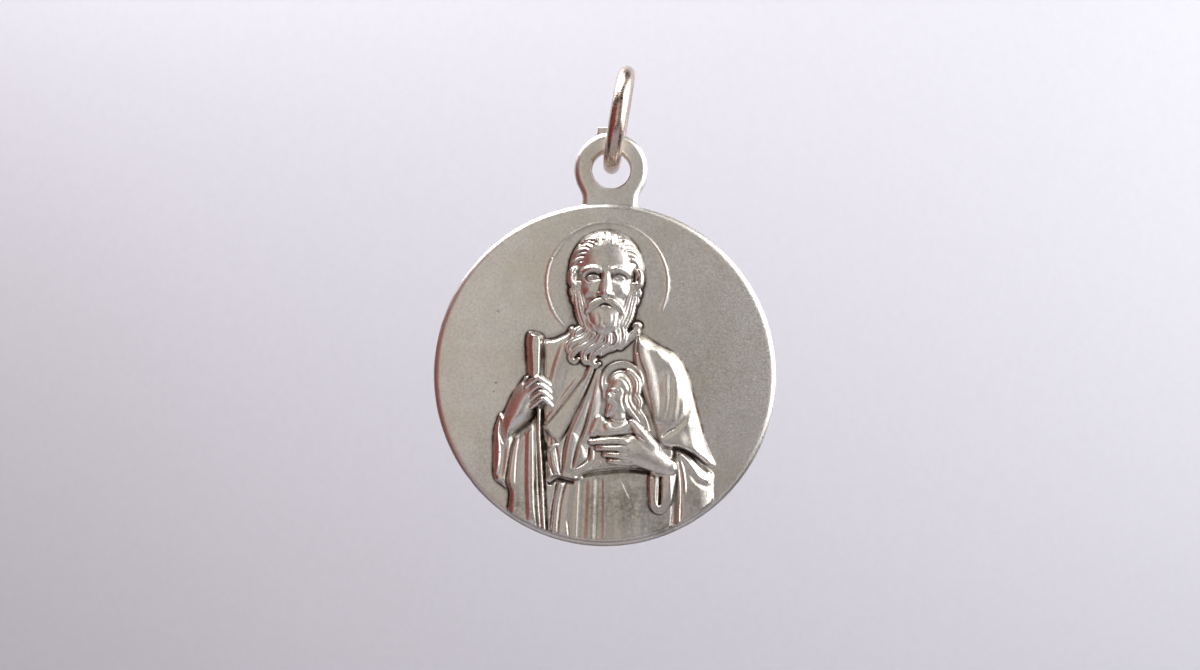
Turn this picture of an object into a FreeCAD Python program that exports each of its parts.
"""A struck silver medal, hung by its eyelet from a plain jump ring.

Millimetres. +X is the viewer's right, +Z is up, and the front faces -Y. The origin is the inner top of the
jump ring, where a chain or cord passes. The medal's own drawing has the disc's centre as its zero.
"""
import FreeCAD, Part
import math
import os
import Mesh
import Sketcher
from FreeCAD import Placement, Rotation, Vector

DIMENSIONS = [
    ("disc_diameter", 25.0),
    ("disc_thickness", 1.6),
    ("disc_edge_round", 0.45),
    ("eyelet_rise", 15.0),
    ("eyelet_diameter", 5.4),
    ("eyelet_hole_diameter", 2.8),
    ("eyelet_thickness", 1.3),
    ("eyelet_edge_round", 0.35),
    ("hole_edge_round", 0.15),
    ("neck_width", 4.1),
    ("neck_foot_rise", 11.8),
    ("neck_corner_round", 0.6),
    ("stub_width", 0.95),
    ("stub_depth", 0.8),
    ("stub_height", 0.75),
    ("stub_offset", 0.6),
    ("halo_radius", 4.4),
    ("halo_centre_rise", 6.65),
    ("halo_line_radius", 0.13),
    ("halo_line_sink", 0.05),
    ("halo_first_angle", -27.0),
    ("halo_last_angle", 229.0),
    ("relief_spacing", 0.24),
    ("relief_sink", 0.18),
    ("relief_root", 0.5),
    ("ring_diameter", 7.8),
    ("wire_diameter", 1.25),
    ("ring_lean", 8.0),
    ("ring_seat_gap", 0.42),
]

# Each sheet of dress: how high it stands over the field, the width of its rounded edge, and its outline.
SHEETS = [
    ("skirt", 0.42, 0.7, [
        (-4.3, -6.4), (5.6, -6.0), (5.7, -13.0), (-4.3, -13.0)]),
    ("cloak, near side", 0.60, 0.8, [
        (-4.6, -2.4), (-5.6, -3.6), (-6.4, -4.3), (-7.4, -3.1), (-7.85, -4.0), (-7.95, -5.6),
        (-7.9, -7.5), (-7.2, -8.1), (-6.75, -8.6), (-7.1, -10.6), (-4.1, -13.0), (-4.1, -7.0)]),
    ("tunic", 0.68, 0.9, [
        (-2.4, 3.3), (-3.4, 2.8), (-4.5, 2.3), (-4.7, 0.0), (-4.7, -4.0), (-4.1, -6.4), (-3.85, -7.7),
        (-2.9, -7.5), (-1.7, -7.65), (-1.0, -7.05), (1.2, -6.7), (4.0, -6.9), (4.6, -4.0), (4.2, 1.6),
        (2.2, 3.2)]),
    ("cape", 0.82, 1.3, [
        (2.1, 3.15), (3.0, 2.85), (4.0, 2.3), (4.95, 2.0), (5.6, 1.3), (6.1, 0.2), (6.5, -1.2),
        (7.0, -3.0), (7.5, -4.6), (8.0, -5.8), (8.25, -6.3), (7.6, -6.7), (6.6, -5.9), (5.6, -5.3),
        (4.2, -5.2), (3.5, -3.6), (3.1, -1.0), (2.6, 0.9)]),
    ("cape, lower fall", 0.62, 0.7, [
        (5.2, -5.4), (6.4, -6.0), (7.6, -7.0), (8.15, -7.3), (8.1, -8.9), (8.4, -9.8), (5.5, -13.0),
        (5.45, -8.0)]),
    ("lapel", 0.88, 0.35, [
        (-1.0, 0.5), (-2.2, -0.4), (-3.4, -2.1), (-4.4, -3.9), (-3.9, -4.5), (-3.2, -4.95),
        (-2.6, -4.1), (-1.4, -1.6), (-0.7, 0.0)]),
]

# Each rounded form: a line of points, each with its half width and the height of its crest.
LIMBS = [
    ("skull", [(-0.1, 8.05, 2.4, 1.12)]),
    ("brow and cheeks", [(-0.1, 7.2, 2.2, 1.18), (-0.1, 5.9, 2.0, 1.2)]),
    ("beard", [(-0.1, 5.0, 1.95, 1.2), (-0.15, 3.8, 1.7, 1.22)]),
    ("nose", [(-0.1, 7.3, 0.35, 1.2), (-0.1, 5.7, 0.55, 1.42)]),
    ("far ear", [(-2.6, 7.6, 0.4, 0.7), (-2.5, 6.2, 0.35, 0.65)]),
    ("near ear", [(2.35, 7.5, 0.4, 0.7), (2.3, 6.3, 0.35, 0.65)]),
    ("moustache, left", [(-0.2, 5.25, 0.35, 1.36), (-1.2, 4.75, 0.35, 1.28), (-1.6, 4.1, 0.25, 1.15)]),
    ("moustache, right", [(0.0, 5.25, 0.35, 1.36), (1.0, 4.75, 0.35, 1.28), (1.4, 4.1, 0.25, 1.15)]),
    ("beard lock, left", [(-1.6, 2.9, 0.6, 1.0), (-2.2, 2.0, 0.8, 1.02), (-2.6, 1.3, 0.45, 0.92)]),
    ("beard lock, middle", [(-0.9, 2.6, 0.7, 1.08), (-0.9, 1.6, 0.85, 1.1), (-1.1, 1.0, 0.5, 1.0)]),
    ("beard lock, right", [(0.4, 2.9, 0.75, 1.1), (0.3, 2.0, 0.7, 1.04), (-0.1, 1.5, 0.5, 0.98)]),
    ("collar knob, left", [(-2.4, 3.15, 0.3, 0.8)]),
    ("collar knob, right", [(2.2, 3.6, 0.36, 0.85)]),
    ("collar", [(2.1, 3.2, 0.35, 0.85), (1.0, 2.1, 0.35, 0.9)]),
    ("staff, upper", [(-5.15, 2.55, 0.6, 0.78), (-5.05, 0.8, 0.52, 0.8), (-4.95, -0.4, 0.5, 0.82)]),
    ("staff, lower", [(-4.72, -2.6, 0.3, 0.8), (-4.6, -6.0, 0.32, 0.78), (-4.2, -9.0, 0.32, 0.72),
                      (-3.9, -12.2, 0.3, 0.66)]),
    ("forearm", [(-5.1, -1.3, 0.95, 1.0), (-6.1, -2.4, 1.0, 0.98), (-6.8, -3.9, 0.85, 0.85),
                 (-6.9, -5.2, 0.5, 0.7)]),
    ("finger one", [(-5.4, -0.65, 0.26, 1.12), (-4.95, -0.35, 0.3, 1.16), (-4.2, -0.75, 0.28, 1.06)]),
    ("finger two", [(-5.2, -1.2, 0.26, 1.12), (-4.75, -0.95, 0.3, 1.16), (-4.0, -1.45, 0.28, 1.06)]),
    ("finger three", [(-5.1, -1.75, 0.26, 1.1), (-4.6, -1.45, 0.3, 1.14), (-3.95, -1.95, 0.28, 1.04)]),
    ("finger four", [(-5.0, -2.3, 0.24, 1.06), (-4.5, -2.0, 0.28, 1.08), (-4.05, -2.35, 0.24, 1.0)]),
    ("sleeve edge", [(-7.6, -3.3, 0.25, 0.72), (-7.65, -5.5, 0.3, 0.74), (-7.7, -7.4, 0.3, 0.7)]),
    ("bust shoulders", [(-0.3, -4.0, 0.75, 0.98), (1.0, -3.9, 0.95, 1.05), (2.0, -3.7, 0.75, 1.0)]),
    ("bust head", [(1.1, -0.4, 0.95, 1.08), (1.05, -1.2, 0.9, 1.12), (0.75, -2.1, 0.75, 1.08)]),
    ("bust hair", [(1.9, -0.2, 0.55, 1.0), (2.45, -1.4, 0.5, 1.02), (2.6, -2.4, 0.45, 0.98),
                   (3.1, -3.4, 0.35, 0.92)]),
    ("back of the hand", [(1.6, -5.3, 1.1, 1.2), (2.9, -5.6, 1.05, 1.2), (4.2, -6.3, 0.85, 1.05)]),
    ("thumb", [(3.2, -4.7, 0.5, 1.18), (2.3, -3.75, 0.42, 1.2), (1.65, -3.05, 0.3, 1.12)]),
    ("index finger", [(1.4, -4.65, 0.3, 1.24), (0.1, -4.7, 0.28, 1.2), (-0.9, -4.75, 0.24, 1.1)]),
    ("middle finger", [(1.4, -5.2, 0.28, 1.24), (0.4, -5.2, 0.27, 1.18), (-0.5, -5.2, 0.22, 1.08)]),
    ("ring finger", [(1.4, -5.75, 0.27, 1.2), (0.6, -5.7, 0.25, 1.14), (-0.1, -5.65, 0.2, 1.05)]),
    ("little finger", [(1.5, -6.25, 0.24, 1.14), (0.9, -6.2, 0.22, 1.1), (0.4, -6.15, 0.18, 1.02)]),
    ("sleeve loop, left", [(3.65, -7.0, 0.35, 0.85), (3.65, -8.9, 0.34, 0.8), (3.9, -9.45, 0.34, 0.76)]),
    ("sleeve loop, right", [(4.9, -6.2, 0.5, 0.95), (4.85, -8.7, 0.42, 0.84), (4.3, -9.5, 0.36, 0.76)]),
    ("cuff", [(5.2, -5.2, 0.35, 0.98), (6.6, -5.75, 0.32, 0.9), (7.9, -6.5, 0.28, 0.66)]),
    ("under sleeve", [(5.7, -5.7, 0.3, 0.84), (6.7, -6.7, 0.36, 0.8), (7.6, -7.3, 0.25, 0.6)]),
]

# Each long fold: its half width, its height (below zero for a groove) and its line.
FOLDS = [
    ("cloak fold, outer", 0.4, 0.14, [(-5.1, -3.3), (-5.2, -6.0), (-5.0, -9.0), (-4.8, -11.4)]),
    ("cloak fold, inner", 0.45, 0.14, [(-6.2, -4.9), (-6.1, -7.2), (-6.3, -10.0)]),
    ("cloak groove, first", 0.35, -0.2, [(-5.6, -4.2), (-5.45, -6.5), (-5.4, -9.0)]),
    ("cloak groove, second", 0.3, -0.24, [(-6.5, -4.8), (-6.85, -6.5), (-6.95, -8.0), (-6.85, -10.0)]),
    ("chest groove, first", 0.3, -0.2, [(-0.9, 0.0), (-2.0, -2.6), (-2.8, -4.6), (-2.9, -7.2)]),
    ("chest groove, second", 0.3, -0.14, [(-0.6, -1.5), (-1.3, -4.0), (-1.8, -6.6)]),
    ("chest ridge", 0.35, 0.12, [(-1.0, -1.6), (-1.9, -4.4), (-2.4, -7.0)]),
    ("blouse groove, left", 0.25, -0.2, [(-3.3, -5.2), (-3.1, -6.6), (-3.0, -7.4)]),
    ("blouse groove, right", 0.3, -0.16, [(-0.6, -5.1), (-0.9, -6.3), (-2.0, -6.9)]),
    ("cape ridge, inner", 0.3, 0.12, [(2.8, 0.7), (3.1, -0.8), (3.5, -2.2)]),
    ("cape hollow", 0.9, -0.12, [(4.2, 0.8), (4.3, -1.5), (4.2, -3.6)]),
    ("cape crease", 0.4, -0.12, [(4.2, -4.3), (5.2, -3.5), (6.1, -1.9)]),
    ("cape fall ridge", 0.3, 0.14, [(5.4, -6.0), (5.65, -8.2), (5.65, -11.0)]),
    ("cape fall groove", 0.3, -0.16, [(5.3, -6.6), (5.25, -8.6), (5.2, -11.0)]),
    ("skirt pleat, one", 0.3, -0.18, [(-3.3, -7.9), (-3.7, -11.2)]),
    ("skirt pleat, two", 0.28, -0.18, [(-2.6, -7.9), (-3.1, -11.4)]),
    ("skirt ridge, three", 0.3, 0.12, [(-1.75, -7.9), (-1.8, -11.9)]),
    ("skirt hollow, four", 0.6, -0.1, [(-0.9, -7.8), (-0.8, -11.6)]),
    ("skirt ridge, five", 0.3, 0.12, [(0.15, -7.4), (0.25, -12.0)]),
    ("skirt ridge, six", 0.5, 0.1, [(1.8, -7.6), (2.4, -9.4), (2.6, -11.6)]),
    ("sleeve slot", 0.22, -0.3, [(4.2, -7.2), (4.2, -9.2)]),
]

# Where one form meets another, the inner corner is filled over this height.
CORNER_BLEND = 0.08
# The figure runs out into the field over this much of the radius, inside the rounded edge.
RIM_FADE = 0.5


def make_sheet(document):
    """The driving dimensions, one named cell each."""
    cells = document.addObject("Spreadsheet::Sheet", "dims")
    for row, (alias, value) in enumerate(DIMENSIONS, start=1):
        cells.set(f"A{row}", alias)
        cells.set(f"B{row}", f"{value:g}")
        cells.setAlias(f"B{row}", alias)
    document.recompute()
    return cells


def origin_plane(body, role):
    return [feature for feature in body.Origin.OriginFeatures if feature.Role == role][0]


def sketch_on_front(body, name):
    """A sketch in the XZ plane of its body: its first axis is +X and its second is +Z."""
    sketch = body.newObject("Sketcher::SketchObject", name)
    sketch.AttachmentSupport = [(origin_plane(body, "XZ_Plane"), "")]
    sketch.MapMode = "FlatFace"
    return sketch


def add_circle(sketch, rise, radius, diameter_cell, rise_cell=None):
    """A circle on the sketch's upright axis, its size and height bound to the sheet."""
    circle = sketch.addGeometry(Part.Circle(Vector(0, rise, 0), Vector(0, 0, 1), radius))
    if rise_cell:
        sketch.addConstraint(Sketcher.Constraint("PointOnObject", circle, 3, -2))
        height = sketch.addConstraint(Sketcher.Constraint("DistanceY", -1, 1, circle, 3, rise))
        sketch.setExpression(f"Constraints[{height}]", f"dims.{rise_cell}")
    else:
        sketch.addConstraint(Sketcher.Constraint("Coincident", circle, 3, -1, 1))
    width = sketch.addConstraint(Sketcher.Constraint("Diameter", circle, 2 * radius))
    sketch.setExpression(f"Constraints[{width}]", f"dims.{diameter_cell}")


def pad_both_ways(body, sketch, name, length_cell):
    pad = body.newObject("PartDesign::Pad", name)
    pad.Profile = sketch
    pad.Midplane = True
    pad.setExpression("Length", f"dims.{length_cell}")
    sketch.Document.recompute()
    return pad


def edge_names(shape, wanted):
    return [f"Edge{number}" for number, edge in enumerate(shape.Edges, start=1) if wanted(edge)]


def face_edges(shape, wanted):
    """Names of the edges that lie in the front or the back face and that wanted() accepts."""
    depth = shape.BoundBox.YMax

    def on_a_face(edge):
        return all(abs(abs(vertex.Point.y) - depth) < 1e-6 for vertex in edge.Vertexes)

    return edge_names(shape, lambda edge: on_a_face(edge) and wanted(edge))


def round_edges(body, base, name, radius_cell, edges):
    fillet = body.newObject("PartDesign::Fillet", name)
    fillet.Base = (base, edges)
    fillet.setExpression("Radius", f"dims.{radius_cell}")
    body.Document.recompute()
    return fillet


def make_disc(document, cells):
    body = document.addObject("PartDesign::Body", "disc")
    sketch = sketch_on_front(body, "disc_outline")
    add_circle(sketch, 0.0, cells.disc_diameter / 2, "disc_diameter")
    pad = pad_both_ways(body, sketch, "disc_blank", "disc_thickness")
    round_edges(body, pad, "disc_edges", "disc_edge_round", face_edges(pad.Shape, lambda edge: True))
    return body


def make_eyelet(document, cells):
    """A flat loop whose neck runs down into the disc."""
    body = document.addObject("PartDesign::Body", "eyelet")
    loop = sketch_on_front(body, "eyelet_outline")
    add_circle(loop, cells.eyelet_rise, cells.eyelet_diameter / 2, "eyelet_diameter", "eyelet_rise")
    pad_both_ways(body, loop, "eyelet_loop", "eyelet_thickness")

    neck = sketch_on_front(body, "neck_outline")
    half = cells.neck_width / 2
    corners = [
        Vector(-half, cells.neck_foot_rise, 0), Vector(half, cells.neck_foot_rise, 0),
        Vector(half, cells.eyelet_rise - half / 2, 0), Vector(-half, cells.eyelet_rise - half / 2, 0)]
    for index in range(4):
        neck.addGeometry(Part.LineSegment(corners[index], corners[(index + 1) % 4]))
    for index in range(4):
        neck.addConstraint(Sketcher.Constraint("Coincident", index, 2, (index + 1) % 4, 1))
    for index, way in enumerate(("Vertical", "Horizontal", "Vertical"), start=1):
        neck.addConstraint(Sketcher.Constraint(way, index))
    neck.addConstraint(Sketcher.Constraint("Symmetric", 0, 1, 0, 2, -2))
    sizes = [
        (Sketcher.Constraint("DistanceX", 0, 1, 0, 2, 2 * half), "dims.neck_width"),
        (Sketcher.Constraint("DistanceY", -1, 1, 0, 1, cells.neck_foot_rise), "dims.neck_foot_rise"),
        (Sketcher.Constraint("DistanceY", -1, 1, 2, 1, cells.eyelet_rise - half / 2),
         "dims.eyelet_rise - dims.neck_width / 4")]
    for constraint, expression in sizes:
        index = neck.addConstraint(constraint)
        neck.setExpression(f"Constraints[{index}]", expression)
    joined = pad_both_ways(body, neck, "eyelet_neck", "eyelet_thickness")

    def in_a_corner(edge):
        ends = [vertex.Point for vertex in edge.Vertexes]
        across = abs(ends[0].y - ends[-1].y) > cells.eyelet_thickness / 2
        return across and abs(abs(ends[0].x) - half) < 1e-3 and ends[0].z > cells.neck_foot_rise + half / 2

    joined = round_edges(body, joined, "neck_corners", "neck_corner_round",
                         edge_names(joined.Shape, in_a_corner))
    outer = round_edges(
        body, joined, "eyelet_edges", "eyelet_edge_round",
        face_edges(joined.Shape, lambda edge: edge.CenterOfMass.z > cells.neck_foot_rise + 1e-6))

    hole = sketch_on_front(body, "hole_outline")
    add_circle(hole, cells.eyelet_rise, cells.eyelet_hole_diameter / 2, "eyelet_hole_diameter",
               "eyelet_rise")
    cut = body.newObject("PartDesign::Pocket", "eyelet_hole")
    cut.Profile = hole
    cut.Type = "ThroughAll"
    cut.Midplane = True
    document.recompute()
    drop = outer.Shape.Volume - cut.Shape.Volume
    whole = math.pi * (cells.eyelet_hole_diameter / 2) ** 2 * cells.eyelet_thickness
    assert abs(drop - whole) < 0.01 * whole, "the eyelet's hole isn't cut through"
    round_edges(
        body, cut, "hole_edges", "hole_edge_round",
        face_edges(cut.Shape, lambda edge: abs(edge.Length - math.pi * cells.eyelet_hole_diameter) < 0.01))
    return body


def make_stub(document):
    """The short stub of the casting gate, left on top of the eyelet."""
    stub = document.addObject("Part::Box", "stub")
    stub.setExpression("Length", "dims.stub_width")
    stub.setExpression("Width", "dims.stub_depth")
    stub.setExpression("Height", "dims.stub_height")
    stub.setExpression("Placement.Base.x", "-dims.stub_offset - dims.stub_width / 2")
    stub.setExpression("Placement.Base.y", "-dims.stub_depth / 2")
    stub.setExpression(
        "Placement.Base.z", "dims.eyelet_rise + dims.eyelet_diameter / 2 - dims.stub_height / 2")
    return stub


def make_halo(document, cells):
    """The thin raised line round the head: part of a torus that is sunk in the field."""
    halo = document.addObject("Part::Torus", "halo")
    halo.setExpression("Radius1", "dims.halo_radius")
    halo.setExpression("Radius2", "dims.halo_line_radius")
    halo.setExpression("Angle3", "dims.halo_last_angle - dims.halo_first_angle")
    front = cells.disc_thickness / 2
    turn = Rotation(Vector(1, 0, 0), 90).multiply(Rotation(Vector(0, 0, 1), cells.halo_first_angle))
    halo.Placement = Placement(Vector(0, cells.halo_line_sink - front, cells.halo_centre_rise), turn)
    return halo


def rounded(share):
    """A quarter round: 0 at the edge of a form, 1 at its crest."""
    share = min(max(share, 0.0), 1.0)
    return math.sqrt(1.0 - (1.0 - share) ** 2)


def smooth_greater(first, second, blend):
    gap = max(blend - abs(first - second), 0.0) / blend
    return max(first, second) + gap * gap * blend / 4


def nearest_on_line(x, z, points):
    """Distance to a line of points, and how far along it the nearest place is, in whole spans."""
    best, along = 1e9, 0.0
    for index in range(len(points) - 1):
        ax, az = points[index][:2]
        bx, bz = points[index + 1][:2]
        dx, dz = bx - ax, bz - az
        share = ((x - ax) * dx + (z - az) * dz) / (dx * dx + dz * dz)
        share = min(max(share, 0.0), 1.0)
        distance = math.hypot(x - ax - share * dx, z - az - share * dz)
        if distance < best:
            best, along = distance, index + share
    return best, along


def inside_distance(x, z, outline):
    """How far a point lies inside an outline, or below zero outside it."""
    closed = outline + outline[:1]
    distance, _ = nearest_on_line(x, z, closed)
    inside = False
    for (ax, az), (bx, bz) in zip(closed, closed[1:]):
        if (az > z) != (bz > z) and x < (bx - ax) * (z - az) / (bz - az) + ax:
            inside = not inside
    return distance if inside else -distance


def limb_height(x, z, points, floor):
    """Height of a rounded form whose half width and crest change along its line."""
    if len(points) == 1:
        distance, along = math.hypot(x - points[0][0], z - points[0][1]), 0.0
        half, crest = points[0][2:]
    else:
        distance, along = nearest_on_line(x, z, points)
        index = min(int(along), len(points) - 2)
        share = along - index
        half, crest = (
            points[index][column] * (1 - share) + points[index + 1][column] * share
            for column in (2, 3))
    if distance >= half:
        return floor
    return floor + (crest - floor) * math.sqrt(1.0 - (distance / half) ** 2)


def relief_height(x, z, disc_radius, floor):
    """Height of the figure over the field at a point; floor, below zero, where there is no figure."""
    height = floor
    for _, top, edge, outline in SHEETS:
        depth = inside_distance(x, z, outline)
        if depth > 0:
            height = smooth_greater(height, floor + (top - floor) * rounded(depth / edge), CORNER_BLEND)
    if height > 0:
        for _, half, rise, line in FOLDS:
            distance, _ = nearest_on_line(x, z, line)
            if distance < half:
                height += rise * (1 - (distance / half) ** 2) ** 2
    for _, points in LIMBS:
        form = limb_height(x, z, points, floor)
        if form > floor:
            height = smooth_greater(height, form, CORNER_BLEND)
    room = disc_radius - math.hypot(x, z)
    fade = min(max(room / RIM_FADE, 0.0), 1.0)
    return floor + (height - floor) * rounded(fade)


def make_relief(document, cells):
    """The raised figure: a faceted solid whose root lies inside the disc."""
    step = cells.relief_spacing
    floor = -cells.relief_sink
    front = cells.disc_thickness / 2
    flat_radius = cells.disc_diameter / 2 - cells.disc_edge_round
    reach = int(math.ceil(flat_radius / step))
    heights = {}
    for column in range(-reach, reach + 1):
        for row in range(-reach, reach + 1):
            height = relief_height(column * step, row * step, flat_radius, floor)
            heights[column, row] = height

    def corners(column, row):
        return (column, row), (column + 1, row), (column + 1, row + 1), (column, row + 1)

    cells_kept = {
        (column, row) for column in range(-reach, reach) for row in range(-reach, reach)
        if any(heights[corner] > floor + 1e-6 for corner in corners(column, row))}

    def top(corner):
        return (corner[0] * step, -front - heights[corner], corner[1] * step)

    def root(corner):
        return (corner[0] * step, -front + cells.relief_root, corner[1] * step)

    facets = []
    neighbours = ((0, -1), (1, 0), (0, 1), (-1, 0))
    for column, row in sorted(cells_kept):
        ring = corners(column, row)
        a, b, c, d = ring
        if abs(heights[a] - heights[c]) <= abs(heights[b] - heights[d]):
            halves = ((a, b, c), (a, c, d))
        else:
            halves = ((a, b, d), (b, c, d))
        for half in halves:
            facets.append([top(corner) for corner in half])
            facets.append([root(corner) for corner in reversed(half)])
        for side, (across, up) in enumerate(neighbours):
            if (column + across, row + up) not in cells_kept:
                first, second = ring[side], ring[(side + 1) % 4]
                facets.append([top(first), root(first), root(second)])
                facets.append([top(first), root(second), top(second)])
    surface = Part.Shape()
    surface.makeShapeFromMesh(Mesh.Mesh(facets).Topology, 1e-4)
    relief = document.addObject("Part::Feature", "relief")
    relief.Shape = Part.Solid(surface)
    relief.Placement = Placement()
    return relief


def make_medal(document, cells):
    """Disc, eyelet, stub, halo line and figure, joined into one struck piece, and hung in its place."""
    parts = [
        make_disc(document, cells), make_eyelet(document, cells), make_stub(document),
        make_halo(document, cells), make_relief(document, cells)]
    medal = document.addObject("Part::MultiFuse", "medal")
    medal.Label = "medal"
    medal.Shapes = parts
    reach = "(dims.ring_diameter - 1.5 * dims.wire_diameter)"
    medal.setExpression("Placement.Base.x", f"-{reach} * sin(dims.ring_lean)")
    medal.setExpression(
        "Placement.Base.z",
        f"-{reach} * cos(dims.ring_lean) - dims.ring_seat_gap - dims.eyelet_rise")
    return medal


def make_jump_ring(document, cells):
    """A closed round ring in an upright plane, its inner top at the origin, leaning to the right."""
    ring = document.addObject("Part::Torus", "jump_ring")
    ring.Label = "jump_ring"
    ring.setExpression("Radius1", "(dims.ring_diameter - dims.wire_diameter) / 2")
    ring.setExpression("Radius2", "dims.wire_diameter / 2")
    drop = cells.ring_diameter / 2 - cells.wire_diameter
    lean = Rotation(Vector(0, 1, 0), cells.ring_lean)
    ring.Placement = Placement(
        lean.multVec(Vector(0, 0, -drop)), lean.multiply(Rotation(Vector(0, 1, 0), 90)))
    return ring


def check_and_write(document, pieces):
    """Stops on any failed object or bad shape, then writes one file for each piece."""
    for item in document.Objects:
        if "Invalid" in item.State or "Error" in item.State:
            raise RuntimeError(f"{item.Name} failed: {item.State}")
    for piece in pieces:
        shape = piece.Shape
        if shape.isNull() or not shape.isValid() or len(shape.Solids) != 1:
            raise RuntimeError(f"{piece.Label} isn't one valid solid")
    os.makedirs("parts", exist_ok=True)
    for piece in pieces:
        piece.Shape.exportStep(f"parts/{piece.Label}.step")
        box = piece.Shape.BoundBox
        print(f"{piece.Label}: {len(piece.Shape.Faces)} faces, {piece.Shape.Volume:.1f} mm3, "
              f"x {box.XMin:.2f} to {box.XMax:.2f}, y {box.YMin:.2f} to {box.YMax:.2f}, "
              f"z {box.ZMin:.2f} to {box.ZMax:.2f}")


def main():
    document = FreeCAD.newDocument("medal_pendant")
    cells = make_sheet(document)
    pieces = [make_medal(document, cells), make_jump_ring(document, cells)]
    document.recompute()
    check_and_write(document, pieces)


main()
